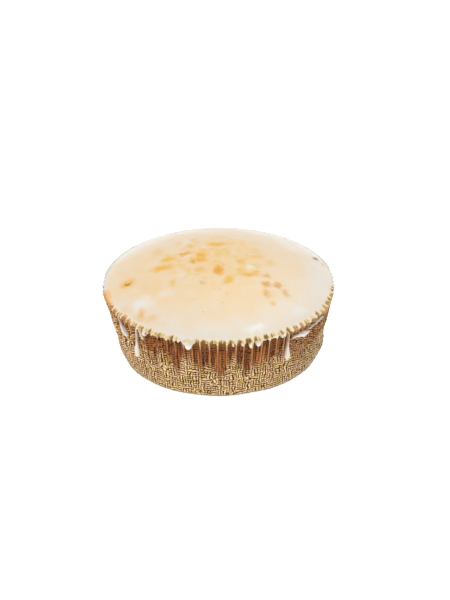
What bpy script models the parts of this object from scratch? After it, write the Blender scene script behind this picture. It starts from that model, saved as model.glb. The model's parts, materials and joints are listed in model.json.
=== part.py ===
"""A round, domed lemon and poppy seed cake under a poured lemon glaze, in its pleated paper baking case.

Three solids: the sponge, the glaze with the runs that went over the rim, and the case.
Metres, +Z up. The origin is the centre of the case's underside. Angles round the cake are
degrees from the front, which is -Y, towards +X.
"""

import math

import bmesh
import bpy
from mathutils import Vector, noise

# The case, measured over the ridges of its pleats.
RIM_RADIUS = 0.077
BASE_RADIUS = 0.0705
CASE_HEIGHT = 0.044
CORNER_HEIGHT = 0.0012
CORNER_INSET = 0.0012
PAPER = 0.00035

# The pleats are shallow at the base and deepest at the rim.
PLEATS = 92
COLUMNS_PER_PLEAT = 3
RIDGE_HALF_SHARE = 0.27
PLEAT_DEPTH_BASE = 0.0004
PLEAT_DEPTH_RIM = 0.0022
SOFT_PLEATS_HEIGHT = 0.017
SOFT_PLEATS_SHARE = 0.35

# The dome's rise above the rim is to the top of the glaze, which ends in a round lip on the rim.
CROWN_RISE = 0.0154
CROWN_POWER = 2.7
GLAZE = 0.0014
GLAZE_LIP = 0.0011
GLAZE_RADIUS = 0.0758
SPONGE_TOP_RADIUS = 0.0736
SPONGE_BASE_RADIUS = 0.0692
RELIEF_HEIGHT = 0.0005
RELIEF_SIZE = 0.021

GAP = 0.0003
TURN_STEPS = 92
DOME_RINGS = 8

# Runs of glaze over the rim: (angle in degrees, width, drop below the rim). The first twelve are at
# the front and sides, and the others carry on round the back in the same mix of lengths.
RUNS = (
    (-51, 0.0070, 0.0140),
    (-44, 0.0044, 0.0270),
    (-37, 0.0075, 0.0070),
    (-13.5, 0.0080, 0.0078),
    (5.5, 0.0028, 0.0040),
    (10, 0.0028, 0.0034),
    (15, 0.0034, 0.0068),
    (19.5, 0.0052, 0.0050),
    (30.5, 0.0036, 0.0030),
    (34.7, 0.0046, 0.0245),
    (41.5, 0.0125, 0.0102),
    (52, 0.0090, 0.0052),
    (78, 0.0040, 0.0092),
    (97, 0.0066, 0.0050),
    (118, 0.0045, 0.0195),
    (141, 0.0095, 0.0062),
    (163, 0.0036, 0.0112),
    (188, 0.0050, 0.0255),
    (210, 0.0085, 0.0060),
    (232, 0.0036, 0.0082),
    (256, 0.0048, 0.0170),
    (278, 0.0066, 0.0058),
)
RUN_START_RADIUS = 0.0738
RUN_THICKNESS_RIM = 0.0008
RUN_THICKNESS_TIP = 0.0015
RUN_RIM_GAP = 0.00045
RUN_NECK = 0.38
LONG_RUN = 0.015
RUN_FRONT_POINTS = 6
RUN_BACK_POINTS = 2
RIM_TURN = 0.0016

WALL_LEAN = math.atan2(RIM_RADIUS - BASE_RADIUS, CASE_HEIGHT)


def clear_scene():
    for item in list(bpy.data.objects):
        bpy.data.objects.remove(item, do_unlink=True)


def material(name, color, roughness, metallic=0.0):
    made = bpy.data.materials.new(name)
    made.use_nodes = True
    shader = made.node_tree.nodes["Principled BSDF"]
    shader.inputs["Base Color"].default_value = (*color, 1)
    shader.inputs["Roughness"].default_value = roughness
    shader.inputs["Metallic"].default_value = metallic
    return made


def add_object(name, mesh, collection, finish=None):
    item = bpy.data.objects.new(name, mesh)
    collection.objects.link(item)
    if finish:
        mesh.materials.append(finish)
    return item


def around(angle, radius, height):
    """The point at that angle from the front, in radians, at that radius and height."""
    return Vector((radius * math.sin(angle), -radius * math.cos(angle), height))


def ridge_radius(height):
    """The case's outer radius over its ridges."""
    return BASE_RADIUS + (RIM_RADIUS - BASE_RADIUS) * height / CASE_HEIGHT


def crown(radius, edge, rise):
    """The dome's height above its own edge: nearly flat on top, and falling away at the edge."""
    return rise * (1 - min(radius / edge, 1) ** CROWN_POWER)


def relief(point):
    """The low swell of the baked top, fading out at its edge."""
    fade = 1 - min(math.hypot(point.x, point.y) / SPONGE_TOP_RADIUS, 1) ** 4
    return RELIEF_HEIGHT * fade * noise.noise(Vector((point.x, point.y, 0)) / RELIEF_SIZE)


def paper_case(collection, finish):
    """A cup of folded paper: a circle extruded up level by level, then given its thickness."""
    columns = PLEATS * COLUMNS_PER_PLEAT
    pleat_angle = math.tau / PLEATS
    turns = (-RIDGE_HALF_SHARE, RIDGE_HALF_SHARE, 0.5)

    def on_wall(column, height, depth):
        pleat, part = divmod(column, COLUMNS_PER_PLEAT)
        inset = depth if part == COLUMNS_PER_PLEAT - 1 else 0
        return around((pleat + turns[part]) * pleat_angle, ridge_radius(height) - inset, height)

    deepening = PLEAT_DEPTH_RIM - PLEAT_DEPTH_BASE
    levels = (
        (CORNER_HEIGHT, PLEAT_DEPTH_BASE),
        (SOFT_PLEATS_HEIGHT, PLEAT_DEPTH_BASE + deepening * SOFT_PLEATS_SHARE),
        (CASE_HEIGHT, PLEAT_DEPTH_RIM),
    )
    shell = bmesh.new()
    base = bmesh.ops.create_circle(shell, segments=columns, radius=BASE_RADIUS - CORNER_INSET)["verts"]
    for column, vertex in enumerate(base):
        flat = on_wall(column, 0, 0)
        vertex.co = flat * ((BASE_RADIUS - CORNER_INSET) / flat.length)
    ring = list(shell.edges)
    shell.faces.new(base)
    column_of = {vertex: column for column, vertex in enumerate(base)}
    for height, depth in levels:
        below = {vertex.co.copy().freeze(): column for vertex, column in column_of.items()}
        new = bmesh.ops.extrude_edge_only(shell, edges=ring)["geom"]
        column_of = {v: below[v.co.copy().freeze()] for v in new if isinstance(v, bmesh.types.BMVert)}
        ring = [e for e in new if isinstance(e, bmesh.types.BMEdge) and set(e.verts) <= set(column_of)]
        for vertex, column in column_of.items():
            vertex.co = on_wall(column, height, depth)
    bmesh.ops.recalc_face_normals(shell, faces=shell.faces)
    mesh = bpy.data.meshes.new("paper_case")
    shell.to_mesh(mesh)
    shell.free()
    case = add_object("paper_case", mesh, collection, finish)
    wall = case.modifiers.new("paper", "SOLIDIFY")
    wall.thickness = PAPER
    wall.offset = -1
    wall.use_even_offset = True
    return case


def turned(name, profile, collection, finish=None):
    """Turns a profile of (radius, height) points, from the axis down its outer side and back, into a mesh."""
    line = bpy.data.meshes.new(name + "_profile")
    edges = [(i, i + 1) for i in range(len(profile) - 1)]
    line.from_pydata([(radius, 0, height) for radius, height in profile], edges, [])
    guide = add_object(name + "_profile", line, collection)
    screw = guide.modifiers.new("turn", "SCREW")
    screw.steps = TURN_STEPS
    screw.render_steps = TURN_STEPS
    screw.use_merge_vertices = True
    screw.merge_threshold = 0.00001
    graph = bpy.context.evaluated_depsgraph_get()
    mesh = bpy.data.meshes.new_from_object(guide.evaluated_get(graph))
    bpy.data.objects.remove(guide)
    mesh.name = name
    return add_object(name, mesh, collection, finish)


def lift_by_relief(item):
    """Moves what lies above the rim by the swell of the baked top."""
    for vertex in item.data.vertices:
        if vertex.co.z > CASE_HEIGHT:
            vertex.co.z += relief(vertex.co)


def dome_profile(edge, edge_height, rise):
    """The dome from the axis to its edge."""
    radii = [edge * math.sin(math.pi / 2 * ring / DOME_RINGS) for ring in range(DOME_RINGS + 1)]
    return [(radius, edge_height + crown(radius, edge, rise)) for radius in radii]


def sponge(collection, finish):
    """The baked cake: a cone's slice that fills the case inside its pleats, under the dome."""
    floor = PAPER + GAP
    top = dome_profile(SPONGE_TOP_RADIUS, CASE_HEIGHT, CROWN_RISE - GLAZE - GAP)
    side = [(SPONGE_BASE_RADIUS, floor + CORNER_HEIGHT), (SPONGE_BASE_RADIUS - CORNER_INSET, floor)]
    cake = turned("sponge", top + side + [(0, floor)], collection, finish)
    lift_by_relief(cake)
    return cake


def glaze_sheet(collection):
    """The poured sheet over the dome, with a half-round lip that lies on the rim of the case."""
    rest = CASE_HEIGHT + GAP
    lip_top = rest + GLAZE_LIP
    over = dome_profile(SPONGE_TOP_RADIUS, lip_top, CROWN_RISE - GLAZE_LIP - GAP)
    under = dome_profile(SPONGE_TOP_RADIUS, rest, CROWN_RISE - GLAZE - GAP)
    reach = GLAZE_RADIUS - SPONGE_TOP_RADIUS
    bends = (math.radians(30), math.radians(-30))
    middle = (rest + lip_top) / 2
    lip = [(SPONGE_TOP_RADIUS + reach * math.cos(t), middle + GLAZE_LIP / 2 * math.sin(t)) for t in bends]
    sheet = turned("glaze_sheet", over + lip + under[::-1], collection)
    lift_by_relief(sheet)
    return sheet


def along_rim_and_wall(travel):
    """Where the case is at that distance from a run's start: (radius, height, the outward normal's lean)."""
    level = RIM_RADIUS - RUN_START_RADIUS
    if travel < level:
        return RUN_START_RADIUS + travel, CASE_HEIGHT, math.pi / 2
    turn = (travel - level) / RIM_TURN
    if turn < 1:
        return RIM_RADIUS, CASE_HEIGHT, math.pi / 2 - turn * (math.pi / 2 + WALL_LEAN)
    down = travel - level - RIM_TURN
    return RIM_RADIUS - down * math.sin(WALL_LEAN), CASE_HEIGHT - down * math.cos(WALL_LEAN), -WALL_LEAN


def run_travels(drop, cap):
    """Where a run's rings lie along it: round the rim, down to the start of its end cap, and round that."""
    level = RIM_RADIUS - RUN_START_RADIUS
    turned_down = level + RIM_TURN
    straight = drop - cap
    rim = (0, level / 3, level, level + RIM_TURN / 2, turned_down)
    wall = (straight / 2, straight, straight + cap / 2, drop - cap / 8, drop)
    return [*rim, *(turned_down + down for down in wall)]


def glaze_run(number, angle, width, drop, collection):
    """One run: it bends over the rim and down the wall, flat at the back and waisted if it is long."""
    cap = min(width, drop) / 2
    waist = RUN_NECK * min(1, drop / LONG_RUN)
    travels = run_travels(drop, cap)
    last = len(travels) - 1
    points = RUN_FRONT_POINTS + RUN_BACK_POINTS
    run = bmesh.new()
    bmesh.ops.create_grid(run, x_segments=points, y_segments=last, size=0.5)
    for vertex in run.verts:
        place = round((vertex.co.x + 0.5) * points) % points
        travel = travels[round((vertex.co.y + 0.5) * last)]
        past = max(cap - travel, travel - travels[last] + cap, 0) / cap
        rounding = math.sqrt(max(1 - past * past, 0))
        share = travel / travels[last]
        half_width = width / 2 * (1 - waist * math.sin(math.pi * share) ** 2) * rounding
        if place < RUN_FRONT_POINTS:
            turn = math.pi * place / (RUN_FRONT_POINTS - 1)
            across, out = math.cos(turn), math.sin(turn)
        else:
            across = 2 * (place - RUN_FRONT_POINTS + 1) / (RUN_BACK_POINTS + 1) - 1
            out = 0
        radius, height, lean = along_rim_and_wall(travel)
        thickness = RUN_THICKNESS_RIM + (RUN_THICKNESS_TIP - RUN_THICKNESS_RIM) * share
        gap = RUN_RIM_GAP + out * thickness * rounding
        spot = radius + gap * math.cos(lean)
        bearing = math.radians(angle) + across * half_width / spot
        vertex.co = around(bearing, spot, height + gap * math.sin(lean))
    bmesh.ops.remove_doubles(run, verts=run.verts, dist=0.00001)
    bmesh.ops.recalc_face_normals(run, faces=run.faces)
    mesh = bpy.data.meshes.new("glaze_run")
    run.to_mesh(mesh)
    run.free()
    return add_object(f"glaze_run_{number:02d}", mesh, collection)


def glaze(collection, runs, finish):
    """The sheet and its runs, fused into one solid."""
    sheet = glaze_sheet(collection)
    for number, (angle, width, drop) in enumerate(RUNS, 1):
        glaze_run(number, angle, width, drop, runs)
    join = sheet.modifiers.new("join", "BOOLEAN")
    join.operation = "UNION"
    join.operand_type = "COLLECTION"
    join.collection = runs
    graph = bpy.context.evaluated_depsgraph_get()
    mesh = bpy.data.meshes.new_from_object(sheet.evaluated_get(graph))
    mesh.name = "glaze"
    mesh.materials.clear()
    for item in [sheet, *runs.objects]:
        bpy.data.objects.remove(item)
    bpy.data.collections.remove(runs)
    return add_object("glaze", mesh, collection, finish)


def main():
    clear_scene()
    scene = bpy.context.scene
    cake = bpy.data.collections.new("lemon_poppy_seed_cake")
    runs = bpy.data.collections.new("glaze_runs")
    scene.collection.children.link(cake)
    scene.collection.children.link(runs)
    paper_case(cake, material("printed_paper", (0.36, 0.21, 0.09), 0.6))
    sponge(cake, material("baked_sponge", (0.80, 0.50, 0.16), 0.85))
    glaze(cake, runs, material("lemon_glaze", (0.87, 0.75, 0.58), 0.3))
    for item in cake.objects:
        item.data.shade_smooth()
        item.data.set_sharp_from_angle(angle=math.radians(35))


main()
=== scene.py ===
"""The looks of a round lemon and poppy seed cake: its printed case, its poured glaze and its seeds.

Metres, +Z up, with the origin under the middle of the case. Angles round the cake start at the
front, which is -Y, and grow towards +X. Those in tables are in degrees, the others in radians.
"""

import json
import math
import random

import bmesh
import bpy
from bpy.props import FloatProperty, FloatVectorProperty, IntProperty, PointerProperty
from mathutils import Matrix, Vector, noise

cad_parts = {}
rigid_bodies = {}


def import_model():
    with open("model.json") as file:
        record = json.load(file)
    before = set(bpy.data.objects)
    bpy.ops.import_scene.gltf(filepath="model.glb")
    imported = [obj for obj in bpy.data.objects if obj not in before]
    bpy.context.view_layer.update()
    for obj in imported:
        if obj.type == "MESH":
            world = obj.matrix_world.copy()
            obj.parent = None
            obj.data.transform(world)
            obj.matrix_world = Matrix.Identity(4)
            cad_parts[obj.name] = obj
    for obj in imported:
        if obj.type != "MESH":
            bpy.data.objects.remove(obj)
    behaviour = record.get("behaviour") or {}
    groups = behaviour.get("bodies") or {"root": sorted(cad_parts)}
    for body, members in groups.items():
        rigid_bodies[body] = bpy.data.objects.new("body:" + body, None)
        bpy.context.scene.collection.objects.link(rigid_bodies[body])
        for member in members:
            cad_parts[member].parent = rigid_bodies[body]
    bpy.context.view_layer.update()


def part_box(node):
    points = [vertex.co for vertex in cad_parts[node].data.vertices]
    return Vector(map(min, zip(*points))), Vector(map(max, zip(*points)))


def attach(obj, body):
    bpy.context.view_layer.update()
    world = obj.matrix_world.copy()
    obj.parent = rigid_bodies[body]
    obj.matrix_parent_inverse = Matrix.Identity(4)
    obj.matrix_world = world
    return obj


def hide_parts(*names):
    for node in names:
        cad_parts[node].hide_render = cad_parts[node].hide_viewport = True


bl_info = {
    "name": "Lemon Poppy Seed Cake",
    "version": (1, 0, 0),
    "blender": (4, 5, 0),
    "location": "3D View > Sidebar > Cake",
    "description": "Dresses the solids of a glazed round cake in its printed paper case",
    "category": "Object",
}

for startup in list(bpy.data.objects):
    bpy.data.objects.remove(startup, do_unlink=True)
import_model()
BODY = "root"

MM = 0.001
SPONGE_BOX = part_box("sponge")
PLEATS = 92
PLEAT_ANGLE = math.tau / PLEATS
# Points round each ring of a mesh.
COLUMNS = PLEATS * 10
# The dome falls with this power of the distance from its axis.
CROWN_POWER = 2.7
# Between the sponge and the underside of the glaze.
GAP = 0.0003
# Radius of the fine disc that is the middle of the glaze's top.
DISC = 0.0716


def linear(code):
    """An sRGB hex colour as linear red, green and blue."""
    parts = [int(code[place : place + 2], 16) / 255 for place in (0, 2, 4)]
    return tuple(part / 12.92 if part <= 0.04045 else ((part + 0.055) / 1.055) ** 2.4 for part in parts)


def length(label, default, note):
    return FloatProperty(name=label, description=note, default=default, subtype="DISTANCE", precision=5)


def colour(label, code, note):
    return FloatVectorProperty(
        name=label, description=note, default=linear(code), size=3, min=0, max=1, subtype="COLOR"
    )


class CaseSettings(bpy.types.PropertyGroup):
    rim_radius: length("Rim radius", 0.077, "Over the ridges, at the rim")
    base_radius: length("Base radius", 0.0705, "Over the ridges, at the base")
    height: length("Height", 0.044, "Of the paper's edge above the base")
    corner: length("Corner", 0.0018, "Radius of the fold between base and wall")
    paper: length("Paper", 0.00022, "Thickness of the greaseproof paper")
    depth_rim: length("Pleat depth at the rim", 0.0022, "From ridge to valley")
    depth_base: length("Pleat depth at the base", 0.00035, "From ridge to valley")
    stroke: length("Stroke pitch", 0.0018, "Between the printed strokes")
    gold: colour("Gold", "F0D09C", "Printed strokes")
    olive: colour("Olive", "D4B466", "Printed strokes where the paper has yellowed")
    pink: colour("Pink", "E2B48E", "Printed strokes where the paper is cleanest")
    brown: colour("Brown", "56300F", "Paper between the strokes")
    # A painted highlight, on the tips of the soaked folds.
    ridge_highlight: colour("Crest", "CE9C70", "The tips of the soaked folds")
    soaked_gold: colour("Soaked gold", "A86A34", "Paper that butter and glaze have soaked a little")
    soaked_brown: colour("Soaked brown", "76360E", "Paper that is soaked through")
    # Partly painted shade, in the bottoms of the soaked folds.
    dark: colour("Dark", "3C1602", "The bottoms of the soaked folds")
    stain: colour("Stain", "8A602C", "Where the glaze has stained the paper below the rim")
    syrup: colour("Syrup", "A26C46", "Where syrup has stained it, at the left")
    tan: colour("Tan", "D0A06E", "Where butter has stained it, at the right")
    # Painted shade round the base.
    foot: colour("Foot", "989488", "The crease round the base")


class GlazeSettings(bpy.types.PropertyGroup):
    rise: length("Rise", 0.0140, "Of the crown above the lip")
    edge_height: length("Edge height", 0.0454, "Of the glaze's top where the sponge ends")
    edge_radius: length("Edge radius", 0.0736, "Where the sponge's top ends")
    white: colour("White", "E3DCD1", "Where the glaze has pooled")
    # A painted highlight colour, for the brightest spots.
    highlight_white: colour("Milk", "F8F8F2", "Its brightest spots")
    peach: colour("Peach", "EBCB98", "Where it has run thin and the crust shows through")
    crust: colour("Crust", "E7B84A", "Bare patches of golden crust")
    ember: colour("Ember", "E69C26", "The most baked patches")
    pit: colour("Pit", "86683A", "Dents that show the dark crust")
    # These film colours hold painted light and shade as well: cream on the lit ridges, gilt partly
    # painted shade in the folds, and the next all painted shade along the film's lower edge.
    cream: colour("Cream", "F0D8A6", "The film on the ridges at the rim")
    gilt: colour("Gilt", "8E6626", "The thinnest film, in the folds at the rim")
    film_edge_shade: colour("Soot", "5A3812", "The lower edge of that film")
    toast: colour("Toast", "EFC082", "The stretch of rim that syrup has browned")
    char: colour("Char", "B07A4E", "The outside of that stretch")
    # Painted shade on the runs and the far edge, greyed too where thin runs show the dark paper.
    dusk: colour("Dusk", "BDB0A0", "Runs so thin that the dark paper greys them")


class SeedSettings(bpy.types.PropertyGroup):
    count: IntProperty(name="Seeds", description="Poppy seeds that show in the glaze", default=16, min=0)
    size: length("Seed", 0.00105, "Length of a poppy seed")
    slate: colour("Slate", "A2936F", "A seed under a film of glaze")


class StageSettings(bpy.types.PropertyGroup):
    distance: length("Distance", 0.462, "From the camera to the middle of the cake")
    elevation: FloatProperty(
        name="Elevation",
        description="How far the camera looks down",
        default=math.radians(31.7),
        subtype="ANGLE",
    )
    lens: FloatProperty(
        name="Lens", description="Focal length on a 36 mm sensor", default=40.4, unit="CAMERA"
    )
    aside: length("Aside", 0.0040, "How far the camera stands to the right of the cake's middle")
    above: length("Above", 0.0036, "How far the view's middle is above the cake's middle")
    floor: colour("Floor", "FFFFFF", "The sweep that the cake stands on")


def settings():
    return bpy.context.scene.cake


def bearing(point):
    """A point's angle from the front, in radians, towards +X."""
    return math.atan2(point[0], -point[1])


def around(angle, radius, height):
    return Vector((radius * math.sin(angle), -radius * math.cos(angle), height))


def smooth(low, high, value):
    share = min(max((value - low) / (high - low), 0), 1)
    return share * share * (3 - 2 * share)


def between(low, high, edge, value):
    """1 from low to high, and falling softly to 0 over the edge on either side."""
    return smooth(low - edge, low, value) * (1 - smooth(high, high + edge, value))


def total(stretches, degrees):
    """The sum at an angle of stretches round the cake, each (from, to and edge in degrees, amount)."""
    return sum(amount * between(*span, degrees) for *span, amount in stretches)


def ring_noise(angle, waves, seed):
    """Smooth noise that closes on itself round the cake, with about that many waves."""
    reach = waves / 2
    return noise.noise(Vector((reach * math.cos(angle), reach * math.sin(angle), seed)))


def pleat_phase(angle):
    """Which pleat an angle is in, and how far: whole numbers are ridges, and halves are valleys."""
    return angle / PLEAT_ANGLE + 0.22 * ring_noise(angle, 24, 3.1)


# How far in mm the wall stands out at its base, less and less towards the rim.
LEANS = ((-100, -44, 14, -0.2), (-48, -24, 12, 0.6), (-46, 0, 20, 1.0), (28, 52, 12, 0.9))
# Bulges of the wall, which are pinches where they are below 0:
# (from, to and edge in degrees, the same in mm of height, how far out in mm).
BULGES = (
    ((-120, -66, 16), (4, 17, 6), -0.3),
    ((-120, -66, 16), (9, 12, 5), -0.7),
    ((-84, -58, 10), (42, 60, 12), 0.6),
    ((60, 110, 20), (6.5, 9, 3), -0.8),
    ((60, 110, 20), (11.5, 34, 8), -0.4),
    ((60, 110, 20), (14.5, 19, 4), -0.6),
    ((76, 90, 10), (1.5, 3, 2), 0.8),
)
# How far within the case's radii its ridges stand.
TUCK = 0.0001


def wall_radius(angle, height):
    """The paper's outer radius, with its pleats, its bulges and the round fold at its foot."""
    case = settings().case
    degrees, up = math.degrees(angle), height / MM
    share = min(max(height / case.height, 0), 1.02)
    radius = case.base_radius + (case.rim_radius - case.base_radius) * share
    depth = case.depth_base + (case.depth_rim - case.depth_base) * share**1.35
    depth *= 1 + 0.35 * ring_noise(angle, 40, 7.7)
    lean = total(LEANS, degrees) + 1.3 * max(math.sin(angle), -0.2)
    bulge = sum(out * between(*span, degrees) * between(*rise, up) for span, rise, out in BULGES)
    wobble = 0.25 * ring_noise(angle, 9, 1.3 + 18 * height) * smooth(0, 0.01, height)
    if height < case.corner:
        low = 1 - height / case.corner
        radius -= case.corner * (1 - math.sqrt(max(1 - low * low, 0)))
    return radius - TUCK - depth * fold(angle) + (lean * (1 - share) + bulge + wobble) * MM


def fold(angle):
    """How deep in the folds of the paper an angle is: 0 on a ridge and 1 in the middle of a valley.

    Some valleys are creased up in their middle, more of them at the left.
    """
    phase = pleat_phase(angle)
    aside = abs(phase - round(phase)) * 2
    depth = 0.5 - 0.5 * math.cos(math.pi * aside**0.5)
    crease = 0.1 + ring_noise(angle, 60, 9.9) + 0.35 * between(-70, -18, 4, math.degrees(angle))
    return depth - min(max(crease, 0), 0.65) * smooth(0.86, 1, depth)


def edge_level(angle):
    """How high the paper's top edge is."""
    return settings().case.height + 0.00018 * ring_noise(angle, 30, 5.5)


def mesh_of(name, shape):
    """Makes a bmesh a mesh, and frees it."""
    mesh = bpy.data.meshes.new(name)
    shape.to_mesh(mesh)
    shape.free()
    return mesh


def linked(name, data):
    """Puts some data in the scene as an object."""
    item = bpy.data.objects.new(name, data)
    bpy.context.scene.collection.objects.link(item)
    return item


def new_piece(name, shape, material, replaces=()):
    """Makes a bmesh a piece of the cake: shaded smooth, dressed and riding on the body."""
    piece = linked(name, mesh_of(name, shape))
    piece.data.shade_smooth()
    piece.data.materials.append(material)
    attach(piece, BODY)
    if replaces:
        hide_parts(*replaces)
    return piece


def bake_modifiers(piece):
    """Applies a piece's modifiers to its mesh."""
    graph = bpy.context.evaluated_depsgraph_get()
    made = bpy.data.meshes.new_from_object(piece.evaluated_get(graph))
    old = piece.data
    piece.modifiers.clear()
    piece.data = made
    bpy.data.meshes.remove(old)
    made.name = piece.name


def spun(line, columns):
    """A shape from a line of (radius, height) points turned once round the cake's axis."""
    shape = bmesh.new()
    verts = [shape.verts.new((0, -radius, level)) for radius, level in line]
    edges = [shape.edges.new(pair) for pair in zip(verts, verts[1:])]
    bmesh.ops.spin(
        shape,
        geom=verts + edges,
        cent=(0, 0, 0),
        axis=(0, 0, 1),
        angle=math.tau,
        steps=columns,
        use_merge=True,
    )
    return shape


def close_poles(shape, radius=0.00002):
    """Merges the points that a turn or a run of rings leaves on the axis."""
    for level in {round(vertex.co.z, 6) for vertex in shape.verts if vertex.co.xy.length < radius}:
        pole = [v for v in shape.verts if v.co.xy.length < radius and abs(v.co.z - level) < 0.000005]
        bmesh.ops.pointmerge(shape, verts=pole, merge_co=(0, 0, level))
    bmesh.ops.recalc_face_normals(shape, faces=shape.faces)


def wire(node, inputs):
    """Gives a node's inputs their values, or links them to the outputs of other nodes."""
    for name, value in inputs.items():
        socket = node.inputs[name]
        if isinstance(value, bpy.types.NodeSocket):
            node.id_data.links.new(value, socket)
        else:
            socket.default_value = (*value, 1) if socket.type == "RGBA" else value


class Nodes:
    """Adds nodes to a material. Each of its methods returns one output of the last node it adds."""

    def __init__(self, tree):
        self.tree = tree

    def node(self, kind, inputs=(), output=0, **choices):
        """A node with its choices and its inputs, which are given by name or in order."""
        made = self.tree.nodes.new("ShaderNode" + kind)
        for name, value in choices.items():
            setattr(made, name, value)
        wire(made, inputs if isinstance(inputs, dict) else dict(enumerate(inputs)))
        return made.outputs[output]

    def math(self, operation, *values, **choices):
        return self.node("Math", values, operation=operation, **choices)

    def vector(self, operation, *values, **choices):
        return self.node("VectorMath", values, operation=operation, **choices)

    def noise(self, place, scale, detail=2.0, **choices):
        return self.node("TexNoise", {"Vector": place, "Scale": scale, "Detail": detail}, **choices)

    def remap(self, *ranges):
        """Eases a value from 0 at its start to 1 at its end, or between two numbers given after them."""
        return self.node("MapRange", ranges, interpolation_type="SMOOTHSTEP")

    def mix(self, share, first, second):
        return self.node("Mix", {0: share, 2: first, 3: second})

    def tint(self, share, face, shade):
        """A colour with a share of another."""
        return self.node("Mix", {0: share, 6: face, 7: shade}, output=2, data_type="RGBA")

    def coats(self, face, *coats):
        """A colour under coats of others: (value, where it starts and is full, share then, colour)."""
        for value, start, full, share, shade in coats:
            face = self.tint(self.remap(value, start, full, 0.0, share), face, shade)
        return face

    def stretch(self, turn, start, end):
        """1 along a stretch of the wall, with (where it is 0, where it is 1) for each of its ends."""
        return self.math("MULTIPLY", self.remap(turn, *start), self.remap(turn, *end))


def new_material(name):
    """A material, its shader, and what adds nodes beside it."""
    made = bpy.data.materials.new(name)
    made.use_nodes = True
    return made, made.node_tree.nodes["Principled BSDF"], Nodes(made.node_tree)


# Printed case

# How far down from the rim the paper is soaked: (angle, height above the base in mm).
SOAKED = (
    (-180, 30), (-64, 38), (-60, 23), (-56, 28), (-52, 34), (-46, 36), (-42, 27), (-36, 28),
    (-32, 19), (-28, 31), (-24, 28), (-20, 17), (-16, 33), (-12, 30), (-8, 24), (-4, 27),
    (0, 17), (4, 24), (8, 30), (12, 21), (16, 24), (20, 22), (24, 25), (28, 27), (32, 28),
    (36, 26), (40, 15), (44, 18), (50, 22), (56, 20), (60, 14), (66, 24), (180, 30),
)


def soaked_level(angle):
    """The height in mm that the soaked paper reaches down to."""
    degrees = math.degrees(angle)
    for (left, low), (right, high) in zip(SOAKED, SOAKED[1:]):
        if degrees <= right:
            return low + (high - low) * max(degrees - left, 0) / (right - left)
    return SOAKED[-1][1]


def case_shape():
    """The case's outer face: an upright line spun round, folded into pleats, with its base filled."""
    case = settings().case
    levels = [case.corner * (1 - math.cos(math.pi / 2 * step / 4)) for step in range(5)]
    rows = 26
    levels += [case.corner + (case.height - case.corner) * row / rows for row in range(1, rows + 1)]
    shape = spun([(case.base_radius, level) for level in levels], COLUMNS)
    for vertex in shape.verts:
        angle, level = bearing(vertex.co), vertex.co.z
        lift = smooth(0.8, 1, level / case.height) * (edge_level(angle) - case.height)
        vertex.co = around(angle, wall_radius(angle, level), level + lift)
    rim = [edge for edge in shape.edges if edge.is_boundary and edge.verts[0].co.z < case.corner]
    bmesh.ops.holes_fill(shape, edges=rim, sides=0)
    bmesh.ops.recalc_face_normals(shape, faces=shape.faces)
    soak = shape.verts.layers.float.new("soak")
    for vertex in shape.verts:
        vertex[soak] = soaked_level(bearing(vertex.co))
    layer = shape.loops.layers.uv.new("wall")
    for face in shape.faces:
        turns = [pleat_phase(bearing(loop.vert.co)) for loop in face.loops]
        for loop, turn in zip(face.loops, turns):
            turn += PLEATS if max(turns) - turn > PLEATS / 2 else 0
            loop[layer].uv = (turn, loop.vert.co.z / MM)
    return shape


def case_material():
    """Greaseproof paper printed in gold on brown: satin, with the soaked folds darker and redder.

    Its UV map runs in pleats from the front and in mm from the base. Its scales of noise are per mm.
    """
    case = settings().case
    made, shader, add = new_material("printed_greaseproof_paper")
    wall = add.node("SeparateXYZ", (add.node("UVMap", uv_map="wall"),)).node.outputs
    turn, up = wall["X"], wall["Y"]
    pitch = math.tau * case.rim_radius / PLEATS / MM
    flat = add.node("CombineXYZ", (add.math("MULTIPLY", turn, pitch), up))
    front = add.stretch(turn, (-7, -3.5), (9.5, 7.5))
    printed, strokes = printed_paper(add, flat, turn, up)
    drawn = add.vector("MULTIPLY", flat, (1, 0.1, 1))
    grain = add.remap(add.noise(drawn, 1.9), 0.34, 0.66, 0.68, 1.34)
    soaked, wet = soaked_paper(add, flat, turn, up, front, grain)
    worn = add.math("MULTIPLY", add.math("MULTIPLY_ADD", front, -0.25, 0.55), strokes)
    wet = add.tint(worn, wet, case.soaked_gold)
    face = add.tint(soaked, printed, wet)
    stained, stain = stained_paper(add, turn, up, front, grain)
    face = add.tint(stained, face, stain)

    # Painted shade greys the paper round the base, broader at the sides.
    beside = add.remap(add.math("ABSOLUTE", turn), 6, 11)
    broad = add.remap(up, 6, 2, 0, 0.5)
    narrow = add.remap(up, 3.2, 1.2, 0, 0.85)
    base_shade = add.math("MAXIMUM", add.math("MULTIPLY", beside, broad), narrow)
    face = add.tint(base_shade, face, case.foot)
    fibres = add.noise(flat, 1.6, 3)
    bump = add.node("Bump", {"Strength": 0.2, "Distance": 0.0002, "Height": fibres})
    wire(shader, {"Base Color": face, "Roughness": 0.55, "Specular IOR Level": 0.08, "Normal": bump})
    return made


def printed_paper(add, flat, turn, up):
    """The dry paper's colour, and its strokes, which wander with a slow warp."""
    case = settings().case
    warp = add.noise(flat, 0.22, 1.5, output="Color")
    warp = add.vector("SUBTRACT", warp, (0.5, 0.5, 0.5))
    place = add.vector("MULTIPLY_ADD", warp, (3, 3, 3), flat)
    blot = add.noise(flat, 0.8)
    strokes = maze(add, place, blot)
    tone = add.noise(flat, 0.13)
    gold = add.coats(
        case.gold,
        (tone, 0.5, 0.66, 1.0, case.olive),
        (tone, 0.46, 0.34, 1.0, case.pink),
        (turn, -6.0, -12.0, 0.25, case.pink),
    )
    face = add.tint(strokes, case.brown, gold)
    # Tone varies in blots; it is painted darker towards the right side as shade, and lighter near the
    # base.
    for ranges in ((blot, 0.3, 0.7, 0.74, 1.15), (turn, 7.5, 13, 1, 0.86), (up, 8, 3, 1, 1.12)):
        face = add.vector("MULTIPLY", face, add.remap(*ranges))
    return face, strokes


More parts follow.
